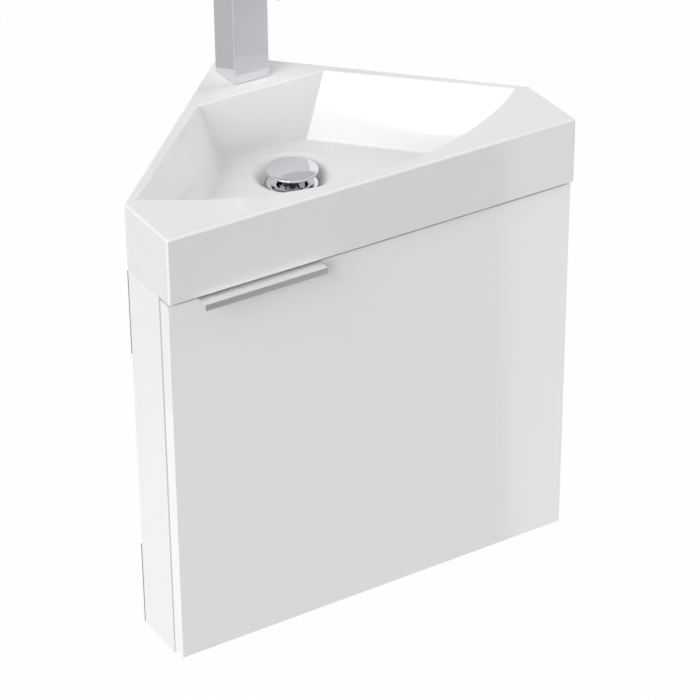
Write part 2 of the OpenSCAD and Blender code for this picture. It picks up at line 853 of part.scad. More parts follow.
module upper_plate_left() { wall_plate(-1, cabinet_h - rail_h, rail_h - plate_set); }
module upper_plate_right() { wall_plate(1, cabinet_h - rail_h, rail_h - plate_set); }
module lower_plate_left() { wall_plate(-1, 0, rail_h); }
module lower_plate_right() { wall_plate(1, 0, rail_h); }

module wall_plate_screws() {
    color(steel_grey) plate_screw_places()
        sunk_screw(plate_screw_r, plate_screw_l, plate_screw_head_r);
}

// ---- Door ----

// The hollow in the back of the door for one hinge cup
module cup_hollow(z) {
    translate([cup_x, door_back_y + cut, z]) rotate([90, 0, 0])
        cylinder(r = cup_d / 2, h = cup_deep + cut);
}

module cup_screw_places() {
    for (z = [hinge_low, hinge_high], k = [-1, 1])
        translate([cup_x - cup_screw_in, door_back_y + cup_flange_t, z + k * cup_screw_up])
            rotate([-90, 0, 0]) children();
}

module handle_screw_places() {
    for (x = [20, handle_l - 20])
        translate([handle_x + x, door_y + 9, door_top_z + handle_t]) children();
}

module buffer_places() {
    for (z = buffer_z)
        translate([-side_x + board_t / 2, door_back_y, z]) rotate([-90, 0, 0]) children();
}

module door_panel() {
    color(lacquer_white) difference() {
        translate([-side_x, door_y, door_low]) cube([2 * side_x, door_t, door_top_z - door_low]);
        for (z = [hinge_low, hinge_high]) cup_hollow(z);
        cup_screw_places() translate([0, 0, -12]) cylinder(r = 1.8, h = 12 + cut);
        handle_screw_places() translate([0, 0, -18]) cylinder(r = 1.7, h = 18 + cut);
    }
}

// L-shaped edge pull: it lies on the top edge of the door and turns down in front
module door_handle() {
    color(satin_grey) difference() {
        translate([handle_x, door_y, door_top_z]) rotate([90, 0, 90]) linear_extrude(handle_l)
            difference() {
                translate([-handle_out, handle_t - handle_lip])
                    square([handle_out + handle_seat, handle_lip]);
                translate([-handle_out + handle_t, -handle_lip])
                    square([handle_out + handle_seat, handle_lip]);
            }
        handle_screw_places() sunk_hole(1.7, 4, 3.2);
    }
}

module handle_screws() {
    color(steel_grey) handle_screw_places() sunk_screw(1.65, 16, 3.15);
}

// Soft stops on the back of the door
module door_buffers() {
    color(plastic_grey) buffer_places() cylinder(r1 = 4.5, r2 = 4, h = door_gap - 0.5);
}

// ---- Hinges ----

// Cup with a flat flange and two ears that hold the pin
module hinge_cup(z) {
    r = cup_d / 2 - fit;
    color(steel_grey) translate([cup_x, door_back_y, z]) rotate([90, 0, 0]) difference() {
        union() {
            cylinder(r = r, h = cup_deep - fit);
            translate([-cup_screw_in, 0, -cup_flange_t]) linear_extrude(cup_flange_t)
                round_rect(13, 64, 4);
            translate([0, 0, -cup_flange_t + 0.4]) cylinder(r = r + 0.8, h = cup_flange_t - 0.4);
        }
        difference() {
            translate([0, 0, -cup_flange_t - cut])
                cylinder(r = r - cup_wall, h = cup_flange_t + cup_deep - fit - cup_wall + cut);
            // the ears stay
            for (k = [-1, 1])
                translate([pin_x - cup_x - 3, k > 0 ? knuckle_w / 2 + 0.4 : -knuckle_w / 2 - 3.4,
                           pin_deep - 3]) cube([6, 3, cup_deep]);
        }
        translate([pin_x - cup_x, 0, pin_deep]) rotate([90, 0, 0])
            cylinder(r = pin_r, h = 2 * 9, center = true);
        for (k = [-1, 1])
            translate([-cup_screw_in, k * cup_screw_up, -cup_flange_t - cut])
                cylinder(r = 2, h = cup_flange_t + 2 * cut);
    }
}

module hinge_pin(z) {
    color(steel_grey) translate([pin_x, pin_y, z]) cylinder(r = pin_r, h = 2 * 8.5, center = true);
}

// Swan-neck arm. From the pin it runs inwards inside the cup, turns back out of the cup
// round the edge of the door and ends in a flat foot over the mounting plate.
module hinge_arm(z) {
    foot_x = inner_x - hinge_plate_t - neck_t / 2;
    foot_w = 16;
    elbow_x = pin_x - neck_in;
    back_y = pin_y + neck_back;
    path = [[pin_x - 1, pin_y], [elbow_x, pin_y], [elbow_x - 0.5, back_y], [foot_x, back_y + 6]];
    color(steel_grey) difference() {
        union() {
            translate([0, 0, z - knuckle_w / 2]) linear_extrude(knuckle_w) {
                for (i = [0 : len(path) - 2]) bar(path[i], path[i + 1], neck_t);
            }
            translate([pin_x, pin_y, z - knuckle_w / 2]) cylinder(r = knuckle_r, h = knuckle_w);
            translate([foot_x - neck_t / 2, back_y + 5, z - foot_w / 2]) cube([neck_t, 46, foot_w]);
        }
        translate([pin_x, pin_y, z - knuckle_w]) cylinder(r = pin_r + fit, h = 2 * knuckle_w);
        translate([foot_x - neck_t, arm_screw_y, z]) rotate([0, 90, 0])
            cylinder(r = 2.5, h = 2 * neck_t);
    }
}

// A flat bar with round ends between two points of the plan
module bar(a, b, t) {
    d = b - a;
    translate(a) rotate(atan2(d[1], d[0])) {
        translate([0, -t / 2]) square([norm(d), t]);
        circle(t / 2, $fn = 24);
        translate([norm(d), 0]) circle(t / 2, $fn = 24);
    }
}

// Cross-shaped mounting plate on the inner face of the right side
module hinge_plate(z) {
    foot = 12;
    color(steel_grey) difference() {
        union() {
            translate([inner_x - hinge_plate_t, hinge_plate_y - 20, z - foot / 2])
                cube([hinge_plate_t, 44, foot]);
            translate([inner_x - 2.5, hinge_plate_y - 6, z - 24]) cube([2.5, 12, 48]);
        }
        for (k = [-1, 1])
            translate([inner_x - hinge_plate_t - cut, hinge_plate_y, z + k * hinge_hole_pitch / 2])
                rotate([0, 90, 0]) cylinder(r = 2.6, h = hinge_plate_t + 2 * cut);
        translate([inner_x - hinge_plate_t - cut, arm_screw_y, z]) rotate([0, 90, 0])
            cylinder(r = 2, h = hinge_plate_t - 1 + cut);
    }
}

module hinge_cup_low() { hinge_cup(hinge_low); }
module hinge_cup_high() { hinge_cup(hinge_high); }
module hinge_pin_low() { hinge_pin(hinge_low); }
module hinge_pin_high() { hinge_pin(hinge_high); }
module hinge_arm_low() { hinge_arm(hinge_low); }
module hinge_arm_high() { hinge_arm(hinge_high); }
module hinge_plate_low() { hinge_plate(hinge_low); }
module hinge_plate_high() { hinge_plate(hinge_high); }

module hinge_cup_screws() {
    color(steel_grey) cup_screw_places() pan_screw(1.75, 10);
}

module hinge_plate_screws() {
    color(steel_grey) hinge_screw_places() translate([0, 0, 2.5]) pan_screw(2.45, 12);
}

module hinge_arm_screws() {
    foot_x = inner_x - hinge_plate_t - neck_t;
    color(steel_grey) for (z = [hinge_low, hinge_high])
        translate([foot_x, arm_screw_y, z]) rotate([0, -90, 0]) pan_screw(1.95, 7);
}

basin();
basin_foam();
waste_flange();
waste_top_seal();
waste_under_seal();
waste_nut();
waste_spider();
waste_latch();
waste_cap();
waste_cap_seal();
waste_stem();
tap_body();
tap_base_seal();
tap_stud();
tap_clamp();
tap_nut();
tap_aerator();
tap_cartridge();
tap_cartridge_ring();
tap_rotor();
tap_rotor_pin();
tap_spindle();
tap_lever();
tap_lever_screw();
side_left();
side_right();
bottom_board();
front_rail();
upper_rail_left();
upper_rail_right();
lower_rail_left();
lower_rail_right();
dowels();
cam_discs();
cam_bolts();
upper_plate_left();
upper_plate_right();
lower_plate_left();
lower_plate_right();
wall_plate_screws();
door_panel();
door_handle();
handle_screws();
door_buffers();
hinge_cup_low();
hinge_cup_high();
hinge_pin_low();
hinge_pin_high();
hinge_arm_low();
hinge_arm_high();
hinge_plate_low();
hinge_plate_high();
hinge_cup_screws();
hinge_plate_screws();
hinge_arm_screws();
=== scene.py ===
"""Looks of a wall-hung corner vanity: glazed basin, chromed tap and waste, lacquered cabinet."""

import json
import math

import bmesh
import bpy
from bpy.props import FloatProperty, FloatVectorProperty, IntProperty, PointerProperty
from bpy.types import Operator, Panel, PropertyGroup
from mathutils import Matrix, Vector


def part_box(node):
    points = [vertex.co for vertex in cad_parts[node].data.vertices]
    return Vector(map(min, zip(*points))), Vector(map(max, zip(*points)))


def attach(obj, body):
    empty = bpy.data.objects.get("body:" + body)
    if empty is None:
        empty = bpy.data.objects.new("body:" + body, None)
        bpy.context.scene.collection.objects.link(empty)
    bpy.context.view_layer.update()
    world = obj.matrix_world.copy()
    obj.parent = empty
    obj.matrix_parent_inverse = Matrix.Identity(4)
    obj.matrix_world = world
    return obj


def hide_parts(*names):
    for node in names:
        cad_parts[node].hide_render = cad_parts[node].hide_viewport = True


bl_info = {
    "name": "Corner Vanity",
    "version": (1, 0, 0),
    "blender": (4, 5, 0),
    "location": "View3D > Sidebar > Vanity",
    "description": "Dresses a corner vanity unit: basin, tap, waste, cabinet, door and hinges",
    "category": "Object",
}

ROOT2 = math.sqrt(2)

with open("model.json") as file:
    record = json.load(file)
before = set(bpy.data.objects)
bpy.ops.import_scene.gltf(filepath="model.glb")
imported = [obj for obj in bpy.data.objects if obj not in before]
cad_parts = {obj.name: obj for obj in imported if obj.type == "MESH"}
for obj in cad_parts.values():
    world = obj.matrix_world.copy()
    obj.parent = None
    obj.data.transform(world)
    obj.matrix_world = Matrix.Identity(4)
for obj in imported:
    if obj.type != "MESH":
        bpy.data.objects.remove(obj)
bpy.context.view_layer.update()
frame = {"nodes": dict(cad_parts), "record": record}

# Driving lines of the CAD model, read from its nodes
BASIN_LOW, BASIN_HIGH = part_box("basin")
FLANGE_LOW, FLANGE_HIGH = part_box("waste_flange")
CAP_LOW, CAP_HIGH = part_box("waste_cap")
SPINDLE_LOW, SPINDLE_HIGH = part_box("tap_spindle")

FRONT_Y = BASIN_LOW.y
HALF_WIDTH = BASIN_HIGH.x
TOP_Z = BASIN_HIGH.z
APRON_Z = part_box("basin_foam")[1].z  # the apron stands on the foam strip
BOSS_Z = BASIN_LOW.z
WASTE_Y = (CAP_LOW.y + CAP_HIGH.y) / 2
TAP_Y = (SPINDLE_LOW.y + SPINDLE_HIGH.y) / 2

# Softening of the edges, by how a piece is made
SMALL_EDGE = 0.0001
PRESSED_EDGE = 0.0002
TURNED_EDGE = 0.0003
MOULDED_EDGE = 0.0004
CAST_EDGE = 0.0006

# Lamps: name, turn from the front towards the left and height in degrees, and whether mirrors
# show it
LAMPS = (
    ("front", 15, 20, True),
    ("left", 60, 20, True),
    ("upper", 80, 45, False),
    ("back", 180, 45, False),
    ("right", 270, 30, False),
)

CAMERA_AT = Vector((-1.66024, -3.06223, 2.30251))
SENSOR_WIDTH = 36.0  # mm


# ---------------------------------------------------------------- settings


def length(name, value, text):
    return FloatProperty(name=name, description=text, default=value, unit="LENGTH", precision=4)


def amount(name, value, text, top=1.0):
    return FloatProperty(name=name, description=text, default=value, min=0.0, max=top)


def angle(name, degrees, text):
    return FloatProperty(name=name, description=text, default=math.radians(degrees),
                         subtype="ANGLE")


def paint(name, rgb, text):
    return FloatVectorProperty(name=name, description=text, default=rgb, subtype="COLOR",
                               min=0.0, max=1.0)


class BasinSettings(PropertyGroup):
    side_depth: length("Side Depth", 0.100, "Length of the two short sides, square to the front")
    corner_cut: length("Corner Flat", 0.014, "Leg of the small flat where the back edges meet")
    edge_round: length("Outer Edge", 0.003, "Radius of the outer edges")
    under_round: length("Lower Edge", 0.0015, "Radius of the apron's lower edge")
    rim_round: length("Bowl Rim Edge", 0.002, "Radius of the edge between deck and bowl")
    ware: length("Ware", 0.010, "Thickness of the ceramic walls")
    deck: length("Deck", 0.012, "Thickness of the deck that carries the tap")
    ledge: length("Ledge", 0.0145, "Width of the ledge at the back corners of the bowl")
    ledge_taper: angle("Ledge Taper", 1.0, "How much the ledge narrows towards the tips")
    rim: length("Front Rim", 0.014, "Width of the front rim at its middle")
    rim_radius: length("Rim Curve", 0.415, "Radius of the curved front rim, seen from above")
    bowl_back: length("Bowl Back", 0.267, "Distance from the front to the bowl's back rim")
    bowl_depth: length("Bowl Depth", 0.0835, "Depth of the bowl")
    wall_lean: length("Wall Lean", 0.025, "How far the long walls lean in at the back corners")
    wall_twist: angle("Wall Twist", 2.4, "How much more the long walls turn in at the floor")
    back_lean: length("Back Lean", 0.006, "How far the back wall leans in")
    front_lean: length("Front Lean", 0.048, "How far the front wall leans in")
    floor_round: length("Floor Crease", 0.003, "Radius of the crease round the bowl's floor")
    crease_round: length("Wall Crease", 0.002, "Radius of the upright creases of the bowl")
    dish_depth: length("Dish Depth", 0.014, "Depth of the dish round the waste")
    dish_radius: length("Dish Radius", 0.054, "Radius of the dish")
    seat_depth: length("Seat Depth", 0.0015, "Depth of the waste's seat below the dish")
    waste_hole: length("Waste Hole", 0.023, "Radius of the hole for the waste")
    boss_radius: length("Boss", 0.040, "Radius of the boss under the bowl")
    tap_hole: length("Tap Hole", 0.0175, "Radius of the tap hole")
    glaze: paint("Glaze", (0.83, 0.83, 0.83), "Colour of the glaze")
    gloss: amount("Glaze Roughness", 0.05, "Roughness of the glaze")


class FittingSettings(PropertyGroup):
    chrome: paint("Chrome", (0.775, 0.77, 0.805), "Colour of the chrome")
    chrome_rough: amount("Chrome Roughness", 0.035, "Roughness of the chrome")
    # The seal's pale colour partly paints the highlight line along the tap's base.
    seal: paint("Seal", (0.62, 0.62, 0.61), "Colour of the seals that touch the glaze")
    turn_steps: IntProperty(name="Turned Steps", description="Faces round a turned piece",
                            default=128, min=48, max=256)


class CabinetSettings(PropertyGroup):
    lacquer: paint("Lacquer", (0.912, 0.912, 0.897), "Colour of the lacquered door")
    lacquer_rough: amount("Lacquer Roughness", 0.08, "Roughness of the lacquer")
    board: paint("Board", (0.86, 0.86, 0.855), "Colour of the coated boards")
    board_edge: length("Board Edge", 0.0006, "Softening of the edges of the boards")
    door_edge: length("Door Edge", 0.0009, "Softening of the edges of the door")
    handle: paint("Handle", (0.88, 0.88, 0.865), "Colour of the handle")
    handle_rough: amount("Handle Roughness", 0.28, "Roughness of the handle")


class StageSettings(PropertyGroup):
    rim_height: length("Rim Height", 0.85, "Height of the basin's rim above the floor")
    floor: paint("Floor", (0.5, 0.5, 0.5), "Colour of the floor")
    sky: amount("Sky", 0.20, "Strength of the even light", 4.0)
    front: amount("Front Lamp", 0.42, "Strength of the lamp in front", 10.0)
    left: amount("Left Lamp", 1.70, "Strength of the main lamp, low at the left", 10.0)
    upper: amount("Upper Lamp", 1.00, "Strength of the high lamp at the left", 10.0)
    back: amount("Back Lamp", 0.42, "Strength of the lamp behind", 10.0)
    right: amount("Right Lamp", 1.42, "Strength of the lamp at the right", 10.0)
    lamp_spread: angle("Lamp Spread", 40.0, "How wide each lamp looks from the object")
    dark_side: amount("Dark Card", 0.06, "Brightness that the door mirrors at its left and middle")
    light_side: amount("Light Card", 1.35, "Brightness that the door mirrors at its right", 4.0)
    rear_card: amount("Rear Card", 0.6, "Brightness that the tap's left face mirrors")
    ceiling: amount("Ceiling Card", 0.6, "Brightness that level chrome mirrors")
    yaw: angle("Camera Yaw", 31.114, "Turn of the camera to the right")
    pitch: angle("Camera Pitch", 31.668, "Dip of the camera below the horizon")
    roll: angle("Camera Roll", -0.4446, "Roll of the camera")
    lens: FloatProperty(name="Lens", description="Focal length in millimetres on a 36 mm sensor",
                        default=161.61, min=10.0, max=400.0)


SETTINGS = {
    "vanity_basin": BasinSettings,
    "vanity_fittings": FittingSettings,
    "vanity_cabinet": CabinetSettings,
    "vanity_stage": StageSettings,
}


# ---------------------------------------------------------------- shader graph


class Value:
    """A shader socket that can be used in arithmetic."""

    def __init__(self, graph, socket):
        self.graph = graph
        self.socket = socket

    def result(self, operation, first, second):
        """What a Math node makes of two values or numbers."""
        return self.graph.node("ShaderNodeMath", {"operation": operation}, {0: first, 1: second})[0]

    def __add__(self, other):
        return self.result("ADD", self, other)

    def __sub__(self, other):
        return self.result("SUBTRACT", self, other)

    def __rsub__(self, other):
        return self.result("SUBTRACT", other, self)

    def __mul__(self, other):
        return self.result("MULTIPLY", self, other)

    def larger(self, other):
        """The larger of two values."""
        return self.result("MAXIMUM", self, other)

    __radd__ = __add__
    __rmul__ = __mul__


class Graph:
    """The node tree of a material or of the world."""

    def __init__(self, tree):
        self.tree = tree
        tree.nodes.clear()

    def node(self, kind, settings=None, inputs=None):
        """Adds a node: settings first, then the values or links of its sockets."""
        made = self.tree.nodes.new(kind)
        for key, value in (settings or {}).items():
            setattr(made, key, value)
        for key, value in (inputs or {}).items():
            if isinstance(value, Value):
                self.tree.links.new(value.socket, made.inputs[key])
            else:
                made.inputs[key].default_value = value
        return [Value(self, socket) for socket in made.outputs]

    def noise(self, scale, detail=2.0, rough=0.5, stretch=(1.0, 1.0, 1.0)):
        """Noise that lies still on the piece, with its coordinates stretched along the axes."""
        own = self.node("ShaderNodeTexCoord")[3]
        where = self.node("ShaderNodeMapping", None, {"Vector": own, "Scale": stretch})[0]
        return self.node("ShaderNodeTexNoise", None, {
            "Vector": where, "Scale": scale, "Detail": detail, "Roughness": rough})[0]

    def blend(self, factor, first, second):
        """A colour between two colours, which the Mix node takes at its sockets 6 and 7."""
        return self.node("ShaderNodeMix", {"data_type": "RGBA"},
                         {0: factor, 6: (*first, 1.0), 7: (*second, 1.0)})[2]

    def tint(self, factor, colour, darker, lighter):
        """A colour that goes from a darker share of itself to a lighter one."""
        return self.blend(factor, toned(colour, darker), toned(colour, lighter))

    def bump(self, height, strength, distance):
        """A normal that follows a height."""
        return self.node("ShaderNodeBump", None, {
            "Strength": strength, "Distance": distance, "Height": height})[0]

    def glow(self, strength):
        """A white shader that gives its own light."""
        return self.node("ShaderNodeEmission", None, {
            "Color": (1, 1, 1, 1), "Strength": strength})[0]

    def seen(self):
        """1 for what the camera sees, also in metal and through glass, and 0 for light."""
        path = self.node("ShaderNodeLightPath")
        camera, glossy, through = path[0], path[3], path[6]
        return camera.larger(glossy).larger(through)

    def output(self, shader, kind="ShaderNodeOutputMaterial"):
        """Ends the graph with a shader."""
        self.node(kind, None, {0: shader})


def toned(colour, part):
    """The colour, darker or lighter by a share."""
    return tuple(min(1.0, channel * part) for channel in colour)


def new_material(name):
    """A material and its empty graph."""
    material = bpy.data.materials.new(name)
    material.use_nodes = True
    return material, Graph(material.node_tree)


def surface(name, colour, rough, bump, fixed=None):
    """A Principled material. colour, rough and bump are functions of the graph, and fixed holds
    the values of other sockets."""
    material, graph = new_material(name)
    inputs = {"Base Color": colour(graph), "Roughness": rough(graph), "Normal": bump(graph)}
    inputs.update(fixed or {})
    graph.output(graph.node("ShaderNodeBsdfPrincipled", None, inputs)[0])
    return material


# ---------------------------------------------------------------- finishes


def glazed_ceramic():
    """White sanitary glaze: faint waves, fine variation of tint and gloss."""
    looks = bpy.context.scene.vanity_basin
    return surface(
        "white_glaze",
        lambda graph: graph.tint(graph.noise(9), looks.glaze, 0.985, 1.01),
        lambda graph: looks.gloss + 0.03 * graph.noise(45, 3),
        lambda graph: graph.bump(graph.noise(26, 1), 0.06, 0.0006),
        {"IOR": 1.52},
    )


def white_lacquer():
    """Sprayed high-gloss lacquer with a fine orange peel."""
    looks = bpy.context.scene.vanity_cabinet
    return surface(
        "white_lacquer",
        lambda graph: graph.tint(graph.noise(5), looks.lacquer, 0.992, 1.006),
        lambda graph: looks.lacquer_rough + 0.03 * graph.noise(60, 3),
        lambda graph: graph.bump(graph.noise(420, 1), 0.05, 0.0002),
        {"IOR": 1.5},
    )


def coated_board():
    """Melamine-coated board with a fine pore."""
    looks = bpy.context.scene.vanity_cabinet
    return surface(
        "coated_board",
        lambda graph: graph.tint(graph.noise(14, 4), looks.board, 0.985, 1.01),
        lambda graph: 0.34 + 0.08 * graph.noise(300, 3),
        lambda graph: graph.bump(graph.noise(1400, 2, stretch=(1, 1, 0.5)), 0.12, 0.00015),
        {"IOR": 1.48},
    )


def polished_chrome():
    """Bright chrome with a faint haze."""
    looks = bpy.context.scene.vanity_fittings
    return surface(
        "polished_chrome",
        lambda graph: graph.tint(graph.noise(30), looks.chrome, 0.98, 1.01),
        lambda graph: looks.chrome_rough + 0.03 * graph.noise(120, 3),
        lambda graph: graph.bump(graph.noise(60, 1), 0.02, 0.0002),
        {"Metallic": 1.0},
    )


def satin_aluminium():
    """Aluminium drawn along X, with fine lines."""
    looks = bpy.context.scene.vanity_cabinet

    def lines(graph):
        return graph.noise(1800, 3, 0.6, stretch=(0.02, 1, 1))

    return surface(
        "satin_aluminium",
        lambda graph: graph.tint(lines(graph), looks.handle, 0.975, 1.02),
        lambda graph: looks.handle_rough - 0.03 + 0.08 * lines(graph),
        lambda graph: graph.bump(lines(graph), 0.03, 0.0001),
        {"Metallic": 0.68},
    )


def zinc_plate():
    """Zinc-plated steel with a soft spangle."""
    return surface(
        "zinc_plate",
        lambda graph: graph.blend(graph.noise(220, 4), (0.42, 0.42, 0.43), (0.58, 0.58, 0.6)),
        lambda graph: 0.24 + 0.2 * graph.noise(160, 3),
        lambda graph: graph.bump(graph.noise(500, 2), 0.06, 0.0001),
        {"Metallic": 1.0},
    )


def dark_paint():
    """Dark powder coat on the wall plates."""
    return surface(
        "dark_powder_coat",
        lambda graph: graph.blend(graph.noise(60, 3), (0.13, 0.13, 0.135), (0.17, 0.17, 0.175)),
        lambda graph: 0.42 + 0.12 * graph.noise(200, 3),
        lambda graph: graph.bump(graph.noise(900, 2), 0.2, 0.0002),
    )


def turned_brass():
    """Plain brass with turning lines round the upright axis."""
    rings = (1, 1, 20)
    return surface(
        "turned_brass",
        lambda graph: graph.blend(graph.noise(90, 3, stretch=rings),
                                  (0.62, 0.46, 0.22), (0.75, 0.58, 0.3)),
        lambda graph: 0.24 + 0.14 * graph.noise(140, 2, stretch=rings),
        lambda graph: graph.bump(graph.noise(120, 2, stretch=(1, 1, 30)), 0.1, 0.0001),
        {"Metallic": 1.0},
    )


def black_rubber():
    """Dull black rubber."""
    return surface(
        "black_rubber",
        lambda graph: graph.blend(graph.noise(120, 4), (0.03, 0.03, 0.03), (0.055, 0.055, 0.055)),
        lambda graph: 0.6 + 0.15 * graph.noise(200, 3),
        lambda graph: graph.bump(graph.noise(1200, 2), 0.2, 0.0001),
    )


def pale_silicone():
    """Pale seals beside the glaze. Their pale colour is partly a painted highlight: the light line
    along the tap's base.
    """
    looks = bpy.context.scene.vanity_fittings
    return surface(
        "pale_silicone",
        lambda graph: graph.tint(graph.noise(80, 3), looks.seal, 0.95, 1.03),
        lambda graph: 0.45 + 0.1 * graph.noise(160, 2),
        lambda graph: graph.bump(graph.noise(900, 2), 0.1, 0.0001),
    )


def cell_foam():
    """White closed-cell foam strip with open pores at its cut edges. Its white is partly painted
    light: it lightens the shaded gap under the apron.
    """
    return surface(
        "cell_foam",
        lambda graph: graph.blend(graph.noise(500, 4), (0.66, 0.66, 0.65), (0.8, 0.8, 0.79)),
        lambda graph: 0.8 + 0.1 * graph.noise(300, 2),
        lambda graph: graph.bump(graph.noise(900, 3), 0.4, 0.0003),
    )


def moulded_plastic():
    """Grey plastic with a fine grain."""
    return surface(
        "moulded_plastic",
        lambda graph: graph.blend(graph.noise(50, 3), (0.5, 0.5, 0.5), (0.56, 0.56, 0.56)),
        lambda graph: 0.4 + 0.1 * graph.noise(260, 3),
        lambda graph: graph.bump(graph.noise(1500, 2), 0.12, 0.0001),
    )


def beech_wood():
    """Beech with grain along the dowels."""
    grain = (0.1, 1, 1)
    return surface(
        "beech_wood",
        lambda graph: graph.blend(graph.noise(900, 4, stretch=grain),
                                  (0.52, 0.34, 0.19), (0.68, 0.5, 0.31)),
        lambda graph: 0.55 + 0.1 * graph.noise(500, 2, stretch=grain),
        lambda graph: graph.bump(graph.noise(1400, 3, stretch=grain), 0.3, 0.0002),
    )


FINISHES = {
    "ware": glazed_ceramic, "lacquer": white_lacquer, "board": coated_board,
    "chrome": polished_chrome, "handle": satin_aluminium, "steel": zinc_plate,
    "plate": dark_paint, "brass": turned_brass, "rubber": black_rubber, "foam": cell_foam,
    "plastic": moulded_plastic, "beech": beech_wood, "seal": pale_silicone,
}
made_finishes = {}


def finish_of(slot):
    """The material of a slot, made once."""
    if slot not in made_finishes:
        made_finishes[slot] = FINISHES[slot]()
    return made_finishes[slot]


SLOT_OF = {part["node"]: part["material_slot"] for part in frame["record"]["subparts"]}
BODY_OF = {node: body for body, nodes in frame["record"]["behaviour"]["bodies"].items()
           for node in nodes}


# ---------------------------------------------------------------- mesh helpers


def place(name, data):
    """A new object in the scene."""
    made = bpy.data.objects.new(name, data)
    bpy.context.scene.collection.objects.link(made)
    return made


def new_piece(name, points, faces):
    """A mesh object from points in metres and faces."""
    mesh = bpy.data.meshes.new(name)
    mesh.from_pydata(points, [], faces)
    mesh.validate()
    return place(name, mesh)


def solid(name, points, faces):
    """A closed piece, with all its faces turned outwards."""
    piece = new_piece(name, points, faces)
    shape = bmesh.new()
    shape.from_mesh(piece.data)
    bmesh.ops.recalc_face_normals(shape, faces=shape.faces)
    shape.to_mesh(piece.data)
    shape.free()
    return piece


def loft(name, rings):
    """A closed solid through rings of equal length, capped at both ends."""
    count = len(rings[0])
    points = [point for ring in rings for point in ring]
    faces = [list(range(count))[::-1]]
    for layer in range(len(rings) - 1):
        low = layer * count
        for i in range(count):
            j = (i + 1) % count
            faces.append([low + i, low + j, low + count + j, low + count + i])
    faces.append([(len(rings) - 1) * count + i for i in range(count)])
    return solid(name, points, faces)


def lathe(name, profile, centre, steps):
    """A solid of revolution about the upright line through centre, from (radius, height) points
    that go round the section. A point on the axis has radius 0."""
    points, faces, columns = [], [], []
    for radius, height in profile:
        if radius == 0:
            columns.append([len(points)] * steps)
            points.append((centre[0], centre[1], height))
            continue
        columns.append(list(range(len(points), len(points) + steps)))
        for i in range(steps):
            turn = 2 * math.pi * i / steps
            points.append((centre[0] + radius * math.cos(turn),
                           centre[1] + radius * math.sin(turn), height))
    closed = profile[0][0] > 0 or profile[-1][0] > 0
    for k in range(len(profile) - (0 if closed else 1)):
        near, far = columns[k], columns[(k + 1) % len(profile)]
        for i in range(steps):
            j = (i + 1) % steps
            corners = [near[i], near[j], far[j], far[i]]
            face = [c for n, c in enumerate(corners) if c not in corners[:n]]
            if len(face) > 2:
                faces.append(face)
    return solid(name, points, faces)


def oval(centre, radii, start, end, steps):
    """Points of an oval in a section, from start to end in degrees, both ends included."""
    return [(centre[0] + radii[0] * math.cos(math.radians(a)),
             centre[1] + radii[1] * math.sin(math.radians(a)))
            for a in (start + (end - start) * i / steps for i in range(steps + 1))]


def combine(piece, other, operation):
    """Joins other to piece, or cuts it from piece, and removes other."""
    step = piece.modifiers.new("join", "BOOLEAN")
    step.operation = operation
    step.solver = "EXACT"
    step.object = other
    bake(piece)
    mesh = other.data
    bpy.data.objects.remove(other)
    bpy.data.meshes.remove(mesh)


def bake(piece):
    """Applies the modifiers of a piece."""
    bpy.context.view_layer.update()
    seen = piece.evaluated_get(bpy.context.evaluated_depsgraph_get())
    mesh = bpy.data.meshes.new_from_object(seen)
    old = piece.data
    piece.modifiers.clear()
    piece.data = mesh
    bpy.data.meshes.remove(old)
    mesh.name = piece.name
    return piece


def smooth(piece, limit=32.0):
    """Smooth shading that keeps flat faces flat and edges over the limit sharp."""
    piece.data.shade_smooth()
    piece.data.set_sharp_from_angle(angle=math.radians(limit))
    step = piece.modifiers.new("normals", "WEIGHTED_NORMAL")
    step.keep_sharp = True
    step.weight = 100
    return bake(piece)


def copy_of(node):
    """A clean copy of a CAD node's mesh: welded, with each flat face in one piece."""
    weld, flat = 2e-6, math.radians(0.3)
    shape = bmesh.new()
    shape.from_mesh(frame["nodes"][node].data)
    bmesh.ops.remove_doubles(shape, verts=shape.verts, dist=weld)
    bmesh.ops.dissolve_limit(shape, angle_limit=flat, verts=shape.verts, edges=shape.edges)
    mesh = bpy.data.meshes.new(node + "_made")
    shape.to_mesh(mesh)
    shape.free()
    return place(node + "_made", mesh)


def clean(piece, gap=1e-6):
    """Closes slivers narrower than the gap."""
    shape = bmesh.new()
    shape.from_mesh(piece.data)
    bmesh.ops.remove_doubles(shape, verts=shape.verts, dist=gap)
    bmesh.ops.dissolve_degenerate(shape, dist=gap, edges=shape.edges)
    shape.to_mesh(piece.data)
    shape.free()
    return piece


def soften(piece, width, steps=2, limit=40.0):
    """Rounds by width the edges that turn by more than the limit."""
    step = piece.modifiers.new("edges", "BEVEL")
    step.width = width
    step.segments = steps
    step.limit_method = "ANGLE"
    step.angle_limit = math.radians(limit)
    step.use_clamp_overlap = True
    step.miter_outer = "MITER_ARC"
    return clean(bake(piece))


def seat(piece, *nodes, finish=None):
    """Gives a piece its finish and its body, and hides the CAD nodes that it stands for."""
    slot = SLOT_OF[nodes[0]]
    piece.data.materials.clear()
    piece.data.materials.append(finish_of(finish or slot))
    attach(piece, BODY_OF[nodes[0]])
    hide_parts(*nodes)


def dress(node, width, steps=2, finish=None):
    """Puts a softened, finished copy in place of a CAD node."""
    seat(smooth(soften(copy_of(node), width, steps)), node, finish=finish)


# ---------------------------------------------------------------- basin


def corner_points(before, corner, after, radius, steps):
    """The round corner of an outline, from the edge before it to the edge after it."""
    back = (Vector(before) - Vector(corner)).normalized()
    ahead = (Vector(after) - Vector(corner)).normalized()
    half = back.angle(ahead) / 2
    centre = Vector(corner) + (back + ahead).normalized() * radius / math.sin(half)
    start = (Vector(corner) + back * radius / math.tan(half)) - centre
    turn = math.pi - 2 * half
    if back.x * ahead.y - back.y * ahead.x > 0:
        turn = -turn
    return [tuple(centre + Matrix.Rotation(turn * i / steps, 2) @ start)
            for i in range(steps + 1)]


